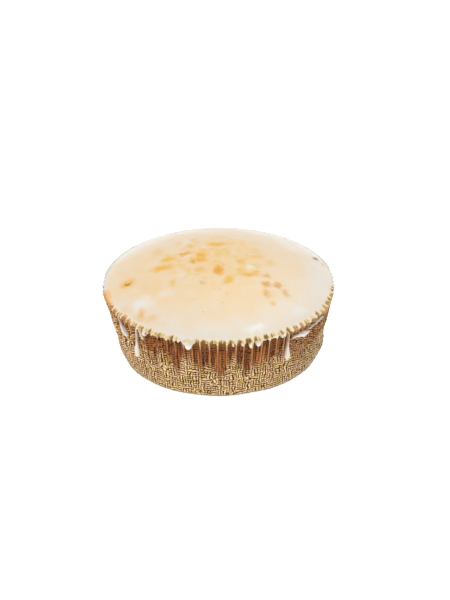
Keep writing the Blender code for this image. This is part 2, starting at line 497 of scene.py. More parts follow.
def soaked_paper(add, flat, turn, up, front, grain):
    """Where the paper is soaked, in streaks from the rim down, and its colour there."""
    case = settings().case
    ridge = add.math("PINGPONG", turn, 0.5)
    pleat = add.math("ROUND", add.math("ADD", turn, 0.5))
    own = add.node("TexWhiteNoise", {"W": pleat}, output="Value", noise_dimensions="1D")
    drawn = add.vector("MULTIPLY", flat, (1, 0.07, 1))
    streak = add.noise(drawn, 0.75, 3)
    patch = add.noise(flat, 0.35, 3)
    streak = add.mix(front, patch, streak)

    # Each pleat is soaked down to a level of its own, most of all in front.
    start = add.node("Attribute", output="Fac", attribute_name="soak")
    start = add.math("MULTIPLY_ADD", own, 4, start)
    short = add.math("SUBTRACT", 0.42, streak)
    start = add.math("MULTIPLY_ADD", short, 18, start)
    deep = add.remap(add.math("SUBTRACT", up, start), -8, 6)
    beside = add.remap(add.math("ABSOLUTE", add.math("ADD", turn, 0.3)), 8, 11)
    most = add.mix(beside, 0.94, add.remap(turn, -8, 8, 0.56, 0.60))
    soaked = add.math("MULTIPLY", deep, most)

    # In front the hollows are painted darkest and the ridges pale, as painted shade and light on the
    # folds, and all of it is darker towards the top.
    hollow = add.mix(front, 1, add.remap(ridge, 0.03, 0.16, 0.35, 1))
    dusk = add.remap(streak, 0.32, 0.62)
    dusk = add.math("ADD", dusk, add.remap(up, 33, 42, 0, 0.3))
    dusk = add.math("MULTIPLY", dusk, hollow)
    face = add.coats(
        case.soaked_gold,
        (dusk, 0.0, 0.4, 1.0, case.soaked_brown),
        (dusk, 0.4, 0.95, 1.0, case.dark),
    )
    share = add.math("MULTIPLY_ADD", front, 0.5, 0.5)
    face = add.vector("MULTIPLY", face, add.mix(share, 1, grain))
    # Painted highlights down the ridges in front, turning gold near the rim.
    upper = add.remap(up, 36, 42)
    pale = add.tint(upper, case.ridge_highlight, case.gold)
    ridge_highlight = add.mix(upper, add.remap(own, 0.2, 0.7, 0, 0.8), 0.9)
    ridge_highlight = add.math("MULTIPLY", ridge_highlight, add.remap(ridge, 0.09, 0.02))
    ridge_highlight = add.math("MULTIPLY", ridge_highlight, front)
    return soaked, add.tint(ridge_highlight, face, pale)


def stained_paper(add, turn, up, front, grain):
    """Where the paper is stained below the film of glaze on the rim, and its colour there."""
    case = settings().case
    hung = add.stretch(turn, (15, 16.5), (19.5, 18.5))
    hung = add.math("MULTIPLY_ADD", hung, 5, up)
    left = add.stretch(turn, (-11, -9.5), (-2.5, -3.1))
    right = add.stretch(turn, (2.3, 2.9), (9, 8))
    spared = add.math("MULTIPLY_ADD", add.math("ADD", left, right), -0.65, 0.85)
    stained = add.math("MULTIPLY", add.remap(hung, 38.4, 43.6), spared)
    # In front the stain thins on the ridges, so that their painted highlights show.
    ridge = add.math("PINGPONG", turn, 0.5)
    bared = add.mix(front, 1, add.remap(ridge, 0.04, 0.12, 0.25, 1))
    stained = add.math("MULTIPLY", stained, bared)
    shade = add.coats(
        case.syrup,
        (turn, -11.0, -9.5, 1.0, case.stain),
        (turn, 8.0, 9.5, 1.0, case.tan),
    )
    half = add.math("MULTIPLY_ADD", grain, 0.5, 0.5)
    return stained, add.vector("MULTIPLY", shade, half)


def maze(add, place, blot):
    """Short printed strokes in a square grid, each across or upright, thicker where there is a blot."""
    stroke = settings().case.stroke / MM
    block = stroke * 3
    grids = [add.vector("DIVIDE", place, (side, side, 1)) for side in (stroke, block)]
    floors = [add.vector("FLOOR", grid) for grid in grids]
    draws = [add.node("TexWhiteNoise", {"Vector": floor}, noise_dimensions="2D") for floor in floors]
    own, shared = (draw.node.outputs for draw in draws)
    inner = [add.vector("FRACTION", grid) for grid in grids]
    inner = [add.vector("SUBTRACT", part, (0.5, 0.5, 0.5)) for part in inner]
    chance = add.math("ADD", own["Value"], shared["Value"])
    upright = add.math("GREATER_THAN", chance, 1)
    off = add.node("SeparateXYZ", (add.vector("ABSOLUTE", inner[0]),)).node.outputs
    aside = add.mix(upright, off["Y"], off["X"])
    ahead = add.mix(upright, off["X"], off["Y"])
    thin = add.math("MULTIPLY_ADD", add.math("SUBTRACT", blot, 0.5), -0.35, aside)
    bar = add.remap(thin, 0.19, 0.31, 1, 0)

    # Half of the strokes are broken at the ends of their cells, and some blocks hold rings instead.
    tint = add.node("SeparateColor", (own["Color"],), output=1)
    broken = add.math("GREATER_THAN", tint, 0.5)
    gap = add.math("MULTIPLY", broken, add.remap(ahead, 0.3, 0.42))
    bar = add.math("SUBTRACT", bar, gap, use_clamp=True)
    away = add.vector("LENGTH", inner[1], output="Value")
    away = add.math("MULTIPLY", away, block)
    wave = add.math("PINGPONG", away, stroke / 2)
    ring = add.remap(wave, stroke * 0.2, stroke * 0.3, 1, 0)
    ringed = add.math("GREATER_THAN", shared["Value"], 0.88)
    return add.mix(ringed, bar, ring)


class CAKE_OT_paper_case(bpy.types.Operator):
    """Replaces the folded solid by thin, softly pleated paper with its print"""

    bl_idname = "cake.paper_case"
    bl_label = "Paper case"

    def execute(self, context):
        piece = new_piece("case_paper", case_shape(), case_material(), ["paper_case"])
        wall = piece.modifiers.new("paper", "SOLIDIFY")
        wall.thickness = settings().case.paper
        wall.offset = -1
        bake_modifiers(piece)
        return {"FINISHED"}


# Baked sponge


def sponge_material():
    """Baked sponge: matte yellow crumb, browner in patches."""
    made, shader, add = new_material("baked_sponge")
    place = add.node("TexCoord", output="Object")
    patch = add.noise(place, 90, 3)
    face = add.coats(linear("E9B45F"), (patch, 0.35, 0.7, 1, linear("D08A3C")))
    # The crumb's cells are about 2 mm across.
    cells = add.node("TexVoronoi", {"Vector": place, "Scale": 520.0}, output="Distance")
    bump = add.node("Bump", {"Strength": 0.6, "Distance": 0.0006, "Height": cells})
    wire(shader, {"Base Color": face, "Roughness": 0.85, "Normal": bump})
    return made


def sponge_shape():
    """The sponge with its side pressed into the folds of the case, under the same dome as the solid."""
    case = settings().case
    edge, rim = settings().glaze.edge_radius, case.height
    rise = SPONGE_BOX[1].z - rim
    floor = SPONGE_BOX[0].z
    rings = 10
    dome = [edge * math.sin(math.pi / 2 * step / rings) for step in range(rings + 1)]
    side = [rim - 0.0016, rim - 0.0024]
    side += [rim * (14 - step) / 16 for step in range(13)]
    side += [floor + 0.0006]
    profile = [(radius, rim + rise * (1 - (radius / edge) ** CROWN_POWER)) for radius in dome]
    profile += [(edge + 0.0001, rim - 0.0012)]
    profile += [(case.rim_radius, level) for level in side]
    profile += [(case.base_radius - 0.0022, floor), (0, floor)]
    shape = spun(profile, COLUMNS)
    close_poles(shape)
    for vertex in shape.verts:
        level = vertex.co.z
        if vertex.co.xy.length > edge + 0.0005:
            angle = bearing(vertex.co)
            vertex.co = around(angle, wall_radius(angle, level) - case.paper - 0.00025, level)
    return shape


class CAKE_OT_sponge(bpy.types.Operator):
    """Replaces the plain sponge by one that fills the folds of its case"""

    bl_idname = "cake.sponge"
    bl_label = "Sponge"

    def execute(self, context):
        new_piece("sponge_crumb", sponge_shape(), sponge_material(), ["sponge"])
        return {"FINISHED"}


# Poured glaze

# Golden patches where the glaze ran thin: (x, y, length, width in mm, turn in degrees, strength, ember).
PATCHES = (
    (-1.5, 19.5, 14, 6, 0, 0.95, 0.15),
    (-10.5, 9.5, 5, 5, 0, 0.55, 0.1),
    (-11.5, 4, 7.5, 7, 30, 0.95, 0.35),
    (-11.8, -1.5, 8.5, 9, 0, 0.9, 0.3),
    (-17, -4, 6, 6, 0, 0.85, 0.25),
    (-22, 6, 9, 4.4, 30, 0.9, 0.55),
    (-24.5, 3, 3.5, 5, 0, 0.6, 0.5),
    (-33.5, 0.5, 9, 8.5, 0, 0.85, 0.05),
    (-29, 0, 5, 6, 0, 0.4, 0.3),
    (-36.5, -10.5, 15, 8, 5, 0.85, 0.1),
    (-31.5, -13, 5, 4, 0, 0.5, 0.1),
    (-19.5, 17, 7, 7, 0, 0.65, 0.05),
    (-18, 28, 5, 7, 0, 0.45, 0.05),
    (-28, 24, 6, 8, 0, 0.3, 0.2),
    (-0.3, -16.8, 6.5, 12.5, 5, 1, 0.8),
    (6.3, -27.5, 6.5, 11, -20, 0.8, 0.05),
    (3, -32, 5, 4, 0, 0.4, 0.05),
    (13.5, -16.5, 6, 6, 0, 0.6, 0.15),
    (18.5, -20.8, 13.5, 6, 0, 0.9, 0.2),
    (24, -17.5, 5, 7, 0, 0.75, 0.2),
    (14.5, -6, 5.5, 7, 0, 0.6, 0.1),
    (17, -2, 5, 3, 0, 0.4, 0.05),
    (25, 2.5, 12, 5.5, 15, 0.5, 0),
    (31, -20.5, 4.5, 6, 0, 0.6, 0.4),
    (29.5, -29.5, 5.5, 6, 0, 0.8, 0.4),
    (36, -29.5, 5, 5, 0, 0.75, 0.5),
    (41, -34.5, 4, 7, 20, 0.5, 0.4),
    (29.5, -38.5, 6, 7, 0, 0.65, 0.3),
    (33.5, -46, 5, 4, 0, 0.55, 0.1),
    (-57.8, -20, 9.5, 7.5, 12, 1, 0.35),
    (-46.8, -52.3, 6.5, 9.5, 0, 0.55, 0.6),
    (-39.5, -55.8, 9, 4.5, 0, 0.3, 0.5),
    (-28.5, -28.5, 6, 7.5, 0, 0.55, 0),
    (-20, -16, 4, 6, 0, 0.4, 0.3),
    (-12, -16, 8, 7, 0, 0.6, 0.2),
    (-29, -17, 6, 4, 0, 0.35, 0.1),
    (-42, 13, 7, 12, 30, 0.35, 0.45),
    (0, 5, 7, 12, 0, 0.42, 0.05),
    (5.8, 7.5, 5.5, 13, 0, 0.48, 0),
    (34, -4, 5, 9, 0, 0.42, 0.05),
    (0, 32, 10, 9, 0, 0.28, 0),
    (70.5, 12.5, 4, 8, 0, 0.45, 0.8),
    (-58, -47, 9, 7, 30, 0.2, 0.6),
)
# Spots of milkier glaze: (x, y, length, width in mm, turn in degrees, strength, how bright its painted
# highlight is).
VEILS = (
    (-20, 1, 5, 8, 0, 0.9, 0),
    (-23, 24, 7, 8, 0, 0.8, 0),
    (20, -11, 7, 7, 0, 0.9, 0.1),
    (-32, -38, 12, 7, 0, 0.7, 0.1),
    (-46, -43, 13, 13, 30, 0.8, 0.2),
    (-23, -22, 6, 5, 0, 0.5, 0),
    (-9.5, 16, 4, 6, 0, 0.6, 0),
    (10.2, 7, 4.5, 9, 0, 0.5, 0),
    (-52, -30, 10, 6, 0, 0.5, 0),
    # A painted highlight near the front rim, and a fainter one to its right.
    (22, -66, 12, 4.5, 18, 1, 0.45),
    (50, -48, 12, 5, 40, 0.5, 0.15),
)
# Dark dents: (x, y, length, width in mm, turn in degrees, strength).
PITS = (
    (-58, -20.5, 3.6, 2.4, 0, 0.9),
    (-10.5, -31, 4, 5, 0, 0.22),
    (66.5, 19.5, 5, 6.5, -20, 0.85),
    (71.5, 14.5, 7, 2, -25, 0.3),
    (30.5, -21, 5, 6, 0, 0.14),
    (30, -30, 5, 5, 0, 0.22),
    (36.5, -30, 5, 5, 0, 0.22),
    (41.5, -35, 4, 7, 20, 0.16),
    (30, -39, 6, 7, 0, 0.12),
    (-24.5, 5.5, 3, 2.5, 0, 0.4),
    (-16.5, -5, 3, 3, 0, 0.25),
)
# Blisters of glaze: (x, y, width, height) in mm. A negative height is a pit.
BLISTERS = (
    (20, -11, 8, 0.65),
    (-20.5, 2, 6, 0.45),
    (-23, 24, 8, 0.35),
    (-46, -43, 14, 0.4),
    (-58, -20.5, 3.6, -0.6),
    (33, -25.5, 5, 0.35),
    (34, -37, 5, 0.3),
    (-29, -6, 6, 0.3),
    (46, 20, 10, 0.25),
)


def crown_height(radius, rest=None):
    """The glaze's top without its relief. Past the sponge's edge it goes on down to its rest."""
    glaze = settings().glaze
    height = glaze.edge_height + glaze.rise * (1 - (radius / glaze.edge_radius) ** CROWN_POWER)
    rest = rest or settings().case.height + 0.0005
    over = (height - rest) / 0.0004
    return rest + 0.0004 * (math.log1p(math.exp(over)) if over < 30 else over)


def share_at(spots, x, y, reach=0):
    """The strongest of some spots at a place in mm, and which one it is: (0 to 1, spot)."""
    best, chosen = 0.0, None
    for spot in spots:
        px, py, long, wide, turn, strength = spot[:6]
        dx, dy = x - px, y - py
        if abs(dx) + abs(dy) > long + wide + reach:
            continue
        cosine, sine = math.cos(math.radians(turn)), math.sin(math.radians(turn))
        along, across = (dx * cosine + dy * sine) * 2 / long, (dy * cosine - dx * sine) * 2 / wide
        share = strength * (1 - smooth(0.1, 1.6, math.hypot(along, across)))
        if share > best:
            best, chosen = share, spot
    return best, chosen


def ragged(x, y):
    """A place in mm, shifted so that the edges of spots there are ragged."""
    wide, fine = Vector((x, y, 11)) / 4.0, Vector((x, y, 23)) / 1.7
    shift_x = 1.5 * noise.noise(wide) + 0.9 * noise.noise(fine)
    shift_y = 1.5 * noise.noise(wide + Vector((0, 0, 5))) + 0.9 * noise.noise(fine + Vector((0, 0, 5)))
    return x + shift_x, y + shift_y


def relief(x, y):
    """The glaze's uneven top in metres, for a place in mm."""
    away = math.hypot(x, y)
    fade = 1 - smooth(62, 74, away)
    swell = 0.45 * noise.noise(Vector((x, y, 0)) / 21)
    ripple = 0.16 * noise.noise(Vector((x, y, 40)) / 6.5) + 0.07 * noise.noise(Vector((x, y, 80)) / 2.6)
    lift = -0.28 * share_at(PATCHES, *ragged(x, y))[0]
    for middle_x, middle_y, wide, tall in BLISTERS:
        lift += tall * math.exp(-4.5 * ((x - middle_x) ** 2 + (y - middle_y) ** 2) / wide**2)
    pooled = 0.35 * smooth(58, 69, away) * (1 - smooth(70, 74, away))
    return ((swell + ripple + lift) * fade + pooled) * MM


# Runs down the wall: (angle, widths at the rim, the neck and the tip, drop in mm, drift in degrees a mm).
RUNS = (
    (-54.2, 0.8, 0.8, 4.4, 14, 0.36),
    (-39.6, 1, 1, 4, 26.2, -0.137),
    (-38.6, 1, 0.9, 1.3, 8, 0.28),
    (-36, 2.2, 1.8, 2.4, 4.2, 0.3),
    (-13.1, 9, 6.2, 4.8, 5.8, 0),
    (6.6, 1.8, 1.6, 1.6, 2.4, 0),
    (10.7, 2.2, 1.6, 1.7, 2.8, 0),
    (14.4, 2.8, 2, 1.9, 5, 0),
    (18.2, 4.8, 4, 3.6, 4.4, -0.1),
    (29.6, 2.4, 2, 2, 2.8, 0),
    (33.1, 0.9, 0.8, 3.4, 22.6, 0.055),
    (101, 7, 5, 4, 5, 0),
    (118, 5.2, 2.4, 4.2, 19, 0.05),
    (141, 10, 7, 5, 6.2, 0),
    (163, 4.4, 2, 3.4, 11, -0.08),
    (188, 5.6, 2.6, 4.6, 25, 0.04),
    (210, 9, 6.4, 4.4, 6, 0),
    (232, 4.4, 2.2, 3.2, 8, 0.1),
    (256, 5, 2.6, 4.2, 17, -0.05),
)
# Ribbons along the wall: points at equal steps of angle, as (angle, height and half breadth in mm).
RIBBONS = (
    (
        (34.7, 37.3, 0.3), (37.2, 38.1, 0.9), (39.7, 37.5, 1.7),
        (42.2, 36.6, 2.3), (44.7, 36.0, 1.8), (47.2, 36.0, 1.0),
    ),
    ((45.6, 37.9, 0.3), (50.2, 38.5, 0.45), (54.8, 39.3, 0.8), (59.4, 38.5, 1.0)),
)
# Where the glaze is sunk below the paper's edge, from 0 to 1.
SUNKEN = ((-62, -50, 8, 0.6), (38, 100, 8, 1.0))
# Where the film of glaze on the rim hangs lower outside the paper, in mm.
HANGING = ((-37, -15, 3, 0.6), (12, 18, 4, 0.2), (20, 31, 2, 1.0))


def filled(angle):
    """How far the glaze has filled the folds at the rim: 1 level with the paper's edge, 0 below it."""
    sunk = total(SUNKEN, math.degrees(angle))
    return min(max(1 - sunk + 0.35 * ring_noise(angle, 22, 21.0), 0), 1)


def film_drop(angle):
    """How far the film of glaze on the rim hangs down outside the paper, most of all on the ridges."""
    degrees = math.degrees(angle)
    drop = (1.0 + total(HANGING, degrees)) * MM
    lumps = 1 + 0.6 * ring_noise(angle, 70, 2.2) + 0.5 * ring_noise(angle, 190, 6.1)
    front = between(-11, 9, 2, degrees)
    return drop * max(lumps, 0.3) * (1.4 + 0.5 * front - (0.7 + 0.8 * front) * fold(angle))


def film_radius(angle, height, thick):
    """The outside of the film on the rim, which fills some of each fold, and all of them at the back."""
    degrees = math.degrees(angle)
    fill = 0.12 + 0.25 * (1 - between(-17, 9, 3, degrees))
    fill += (1 - fill) * (1 - between(-88, 98, 5, degrees))
    wall = wall_radius(angle, height)
    return wall + 0.00004 + thick + fill * max(ridge_line(height) - wall, 0)


def ridge_line(height):
    """The radius over the ridges."""
    case = settings().case
    return case.base_radius + (case.rim_radius - case.base_radius) * height / case.height


def rim_section(angle):
    """The glaze's section over the rim as (radius, height) points: along its face, then back under it."""
    edge, drop = edge_level(angle), film_drop(angle)
    wall = wall_radius(angle, edge)
    inner = max(wall - 0.0007, 0.0732)
    level = edge + 0.0004 - 0.0009 * (1 - filled(angle))
    points = []
    for step in range(1, 5):
        radius = DISC + (inner - DISC) * step / 4
        place = around(angle, radius, 0) / MM
        points.append((radius, crown_height(radius, level) + relief(place.x, place.y)))
    points += [(wall - 0.0001, edge + 0.00034), (film_radius(angle, edge, 0.0002), edge + 0.0001)]
    for share, thick in ((0.45, 0.00026), (0.85, 0.0002)):
        points.append((film_radius(angle, edge - drop * share, thick), edge - drop * share))
    points.append((wall_radius(angle, edge - drop) + 0.00007, edge - drop))
    points.append((wall_radius(angle, edge - drop * 0.8) + 0.00003, edge - drop * 0.8))
    points += [(wall + 0.00003, edge - 0.0001), (wall + 0.00002, edge + 0.00005)]
    points += [(wall - 0.0003, edge + 0.00005), (inner - 0.0001, level - 0.00035)]
    return points


def glaze_sheet():
    """The sheet: a fine disc for its top, a film drawn down over the rim, and a plain underside."""
    glaze, case = settings().glaze, settings().case
    shape = bmesh.new()
    bmesh.ops.create_grid(shape, x_segments=COLUMNS // 4, y_segments=COLUMNS // 4, size=1)
    for vertex in shape.verts:
        x, y = vertex.co.x, vertex.co.y
        far, other = (x, y) if abs(x) > abs(y) else (y, x)
        turn = math.pi / 4 * other / far if far else 0
        place = Vector((math.cos(turn), math.sin(turn), 0)) * far * DISC
        if abs(x) <= abs(y):
            place.x, place.y = place.y, place.x
        place.z = crown_height(place.length) + relief(place.x / MM, place.y / MM)
        vertex.co = place
    ring = [edge for edge in shape.edges if edge.is_boundary]
    turns = [math.tau * column / COLUMNS for column in range(COLUMNS)]
    sections = [rim_section(math.remainder(turn, math.tau)) for turn in turns]
    for step in range(len(sections[0])):
        ring = extruded(shape, ring)
        for vertex in loop_verts(ring):
            angle = bearing(vertex.co)
            vertex.co = around(angle, *sections[round(angle / math.tau * COLUMNS)][step])
    rings = 6
    rise = SPONGE_BOX[1].z - case.height
    for step in range(rings, -1, -1):
        radius = (glaze.edge_radius - 0.0006) * math.sin(math.pi / 2 * step / rings)
        level = case.height + GAP + rise * (1 - (radius / glaze.edge_radius) ** CROWN_POWER)
        ring = extruded(shape, ring)
        for vertex in loop_verts(ring):
            vertex.co = around(bearing(vertex.co), max(radius, 0.00001), level)
    close_poles(shape)
    return shape


def extruded(shape, ring):
    """Extrudes a loop of edges and returns the new loop."""
    new = bmesh.ops.extrude_edge_only(shape, edges=ring)["geom"]
    return [edge for edge in new if isinstance(edge, bmesh.types.BMEdge) and edge.is_boundary]


def loop_verts(ring):
    return {vertex for edge in ring for vertex in edge.verts}


def strip(points, stations, place):
    """A closed strip: a grid rolled into a tube, each of its points put in place by (point, station)."""
    shape = bmesh.new()
    bmesh.ops.create_grid(shape, x_segments=points, y_segments=stations - 1, size=0.5)
    for vertex in shape.verts:
        point = round((vertex.co.x + 0.5) * points) % points
        station = round((vertex.co.y + 0.5) * (stations - 1))
        vertex.co = place(point, station)
    bmesh.ops.remove_doubles(shape, verts=shape.verts, dist=0.000008)
    bmesh.ops.holes_fill(shape, edges=[edge for edge in shape.edges if edge.is_boundary], sides=0)
    bmesh.ops.recalc_face_normals(shape, faces=shape.faces)
    return shape


def ridge_cover(angle, height, across):
    """How far a run's face stands off the paper to bridge the folds under it, less towards its edges."""
    return max(ridge_line(height) - wall_radius(angle, height), 0) * min(1, (1 - abs(across)) * 3)


FRONT, BACK = 14, 8


def cross_section(point):
    """Where a point of a run's outline is: (-1 to 1 across, 0 to 1 out). Its back is flat."""
    if point < FRONT:
        turn = math.pi * point / (FRONT - 1)
        return math.cos(turn), math.sin(turn)
    return 2 * (point - FRONT + 1) / (BACK + 1) - 1, 0


def run_shape(angle, flare, neck, tip, drop, drift):
    """One run: a closed strip down the wall from under the film on the rim, its back on the paper."""
    case = settings().case
    cap = min(tip * 0.75, drop / 2)
    body = drop - cap
    first, spread = 0.4, min(body, 4.0)
    rows = max(4, round((body - first) / 0.8))
    downs = [first + (body - first) * step / rows for step in range(rows + 1)]
    downs += [body + cap * math.sin(math.pi / 2 * step / 5) for step in range(1, 6)]

    def place(point, station):
        across, out = cross_section(point)
        down = downs[station]
        rounding = math.sqrt(max(1 - (max(down - body, 0) / cap) ** 2, 0))
        half = (flare + (neck - flare) * smooth(first, spread, min(down, body))) / 2
        half += (tip / 2 - half) * smooth(body * 0.4, body, down)
        spot = math.radians(angle + drift * down) + across * half * rounding * MM / case.rim_radius
        free = smooth(first, 2.4, down)
        thick = min(0.1 + 0.6 * half, 1.3) * (0.35 + 0.65 * free) * max(rounding, 0.3) * MM
        height = case.height - down * MM * math.cos(math.radians(8.4))
        bridge = ridge_cover(spot, height, across) * (0.25 + 0.75 * free) if point < FRONT else 0
        return around(spot, wall_radius(spot, height) + 0.00006 + out * thick + bridge, height)

    return strip(FRONT + BACK, len(downs), place)


def ribbon_shape(line):
    """One ribbon: a closed strip that lies along the wall through its points, tapered at both ends."""
    stations = 30

    def place(point, station):
        across, out = cross_section(point)
        share = station / (stations - 1) * (len(line) - 1)
        first = min(int(share), len(line) - 2)
        blend = smooth(0, 1, share - first)
        level, half = (a + (b - a) * blend for a, b in zip(line[first][1:], line[first + 1][1:]))
        end = min(station, stations - 1 - station) / 4
        rounding = math.sqrt(max(1 - (1 - min(end, 1)) ** 2, 0.0004))
        spot = math.radians(line[0][0] + (line[-1][0] - line[0][0]) * station / (stations - 1))
        half *= 1 + 0.3 * ring_noise(spot, 90, 6.6)
        height = (level + 0.3 * ring_noise(spot, 60, 4.8) + across * half * rounding) * MM
        bridge = ridge_cover(spot, height, across) * min(3 * half, 1) if point < FRONT else 0
        thick = (0.15 + 0.4 * half) * rounding * MM
        return around(spot, wall_radius(spot, height) + 0.00006 + out * thick + bridge * rounding, height)

    return strip(FRONT + BACK, stations, place)


# What the glaze is like at each point of its mesh, from 0 to 1, painted highlights and shade among them.
MARKS = ("bare", "baked", "thin", "milky_and_highlit", "pitted", "gilded", "toasted", "painted_shade")


def glaze_material():
    """Set lemon glaze: a satin sugar film, white where it pooled and clear where it is thin.

    Its scales of noise are per metre.
    """
    glaze = settings().glaze
    made, shader, add = new_material("set_lemon_glaze")
    place = add.node("TexCoord", output="Object")
    marks = {name: add.node("Attribute", output="Fac", attribute_name=name) for name in MARKS}
    wide = add.remap(add.noise(place, 110, 3), 0.3, 0.7, -0.12, 0.12)
    thin = add.math("ADD", marks["thin"], wide, use_clamp=True)
    golden = add.tint(marks["baked"], glaze.crust, glaze.ember)
    fine = add.remap(add.noise(place, 420, 3), 0.3, 0.7, 0.85, 1.35)
    bare = add.math("MULTIPLY", marks["bare"], fine, use_clamp=True)
    face = glaze.white
    # Milky spots also carry painted highlights, whitest of all.
    layers = (
        (thin, glaze.peach),
        (marks["milky_and_highlit"], glaze.highlight_white),
        (bare, golden),
        (marks["pitted"], glaze.pit),
    )
    for share, shade in layers:
        face = add.tint(share, face, shade)
    # The rim's film, painted light on the ridges and shaded in the folds and along its lower edge, then
    # the syrup-browned stretch.
    face = add.coats(
        face,
        (marks["gilded"], 0.0, 0.3, 1.0, glaze.cream),
        (marks["gilded"], 0.2, 0.7, 1.0, glaze.gilt),
        (marks["gilded"], 0.72, 1.0, 1.0, glaze.film_edge_shade),
        (marks["toasted"], 0.0, 0.6, 1.0, glaze.toast),
        (marks["toasted"], 0.6, 1.0, 1.0, glaze.char),
    )
    # Painted shade: the runs are a little dimmer than the glaze on top, and the marked runs and far edge
    # dimmer still.
    low = add.remap(add.node("SeparateXYZ", (place,), output="Z"), 0.0405, 0.0375, 0, 0.3)
    dim = add.math("MAXIMUM", low, marks["painted_shade"])
    face = add.tint(dim, face, glaze.dusk)
    bumpy = add.noise(place, 330, 4)
    bump = add.node("Bump", {"Strength": 0.2, "Distance": 0.0003, "Height": bumpy})
    wire(shader, {"Base Color": face, "Roughness": 0.38, "Normal": bump})
    wire(shader, {"IOR": 1.49, "Specular IOR Level": 0.25, "Subsurface Weight": 0.15})
    wire(shader, {"Subsurface Radius": (1, 0.75, 0.5), "Subsurface Scale": 0.0015})
    return made


def marks_at(x, y):
    """The glaze's marks on its top at a place in mm: how bare, baked, thin, milky and painted-highlit,
    and how pitted it is.
    """
    away = math.hypot(x, y)
    place = ragged(x, y)
    bare, patch = share_at(PATCHES, *place)
    mottle = 0.30 * smooth(0.0, 0.45, noise.noise(Vector((x, y, 30)) / 4.5)) * (1 - smooth(22, 46, away))
    milky_and_highlit, veil = share_at(VEILS, *place)
    pitted = share_at(PITS, *place)[0]

    # It is thinnest on the crown, and thickens towards the rim, the right and the back.
    far = away + 7 * noise.noise(Vector((x, y, 60)) / 19)
    left = smooth(10, 55, -x) * between(-22, 6, 24, y)
    thin = 0.92 - 0.28 * smooth(8, 45, far) - 0.5 * smooth(47 + 14 * left, 71 + 14 * left, far)
    thin -= 0.14 * smooth(10, 60, x) * smooth(-55, -15, y)
    thin -= 0.26 * smooth(4, 46, y) + 0.18 * smooth(50, 68, y)
    thin += 0.08 * between(-62, -38, 14, y) + 0.16 * smooth(22, 50, -x) * (1 - smooth(-34, -4, y))
    thin = min(max(thin - 0.6 * milky_and_highlit, 0), 1)
    return max(bare, mottle), patch[6] if patch else 0, thin, milky_and_highlit * veil[6] if veil else 0, pitted


# Besides its own colour, the film is painted darker in the folds and lighter on the ridges, as shade and
# light.
# How gilded the film on the rim is, where it is thinnest, and how much of that reaches the ridges.
GILDING = (
    (-63, 79, 4, 0.7),
    (-38, -19, 3, -0.25),
    (-17, -10.5, 1.5, -0.5),
    (-9, 5, 3, 0.2),
    (5, 12, 2, -0.14),
    (27, 79, 4, -0.17),
    (62, 79, 4, 0.2),
)
EVENNESS = ((-180, 180, 1, 0.20), (-31, -19, 3, 0.25), (-27, -18, 2, 0.20), (27, 79, 4, 0.25))
# Runs given painted shade, and greyed where they are thin over the dark paper: (from, to and edge in
# degrees, where they start to be dim and where they are dimmest in mm of height, share).
SHADED_RUNS = (
    ((-63, -52, 0.5), 34, 37.5, 0.91),
    ((-41.9, -39, 0.5), 29, 32, 0.7),
    ((31.8, 35.4, 0.5), 30, 33.5, 0.7),
    ((49, 64, 3), 30, 31, 0.6),
)
# The neck of one run is so thin that the paper shows through it.
CLEAR_NECK = (31.8, 35.4, 0.5)


def gilded_at(angle, inside, under):
    """How gilded the film is, a point being so far inside and under the paper's edge."""
    degrees = math.degrees(angle)
    right, far = between(27, 79, 4, degrees), between(62, 79, 4, degrees)
    even = total(EVENNESS, degrees)
    gilded = total(GILDING, degrees) * (even + (1 - even) * fold(angle) ** (1 + 2 * right - 1.2 * far))
    gilded *= 1 + 0.9 * ring_noise(angle, 90, 4.4) + 0.7 * ring_noise(angle, 260, 2.8)
    # Only below the paper's edge does it reach the painted shade of the film's lower edge.
    gilded = min(max(gilded, 0), 0.75 + 0.25 * smooth(0, 0.0006, under))
    gilded *= 1 - 0.95 * between(20, 31, 2, degrees) * smooth(0.0006, 0.0014, under)
    reach = 0.0020 - 0.0006 * between(-11, 10, 3, degrees) + 0.0002 * far
    return gilded * smooth(reach, -0.0001, inside)


def toasted_at(angle, radius, inside):
    """How browned by syrup the rim is: a band at the left, and lumps in the folds in front of it."""
    degrees = math.degrees(angle)
    band = settings().case.rim_radius - radius + 0.0010 * ring_noise(angle, 80, 8.2)
    breadth = 0.0016 + 0.0018 * between(-76, -70, 7, degrees)
    toasted = between(-73, -63, 6, degrees) * smooth(breadth + 0.0016, breadth - 0.0004, band)
    toasted *= 0.6 + 0.25 * smooth(0.0022, 0.0002, band)
    lumps = between(-60, -43, 3, degrees) * smooth(0.3, 0.6, fold(angle))
    lumps *= smooth(0.0006, -0.0001, inside)
    return min(toasted + lumps, 1)


def rim_marks_at(point):
    """The glaze's marks near the rim and on its runs: how gilded, toasted and darkened by painted shade
    it is.
    """
    angle, up = bearing(point), point.z / MM
    degrees = math.degrees(angle)
    inside = wall_radius(angle, settings().case.height) - point.xy.length
    under = edge_level(angle) - point.z
    film = smooth(-0.0004, 0, film_drop(angle) - under)
    run = smooth(0.0012, 0.0018, under)
    clear = between(*CLEAR_NECK, degrees) * smooth(34.2, 36.2, up) * run
    gilded = max(gilded_at(angle, inside, under) * film, 0.5 * clear)
    toasted = toasted_at(angle, point.xy.length, inside) * film
    dims = (most * between(*span, degrees) * smooth(low, high, up) for span, low, high, most in SHADED_RUNS)
    return gilded, toasted, max(dims) * (1 - 0.6 * clear) * run


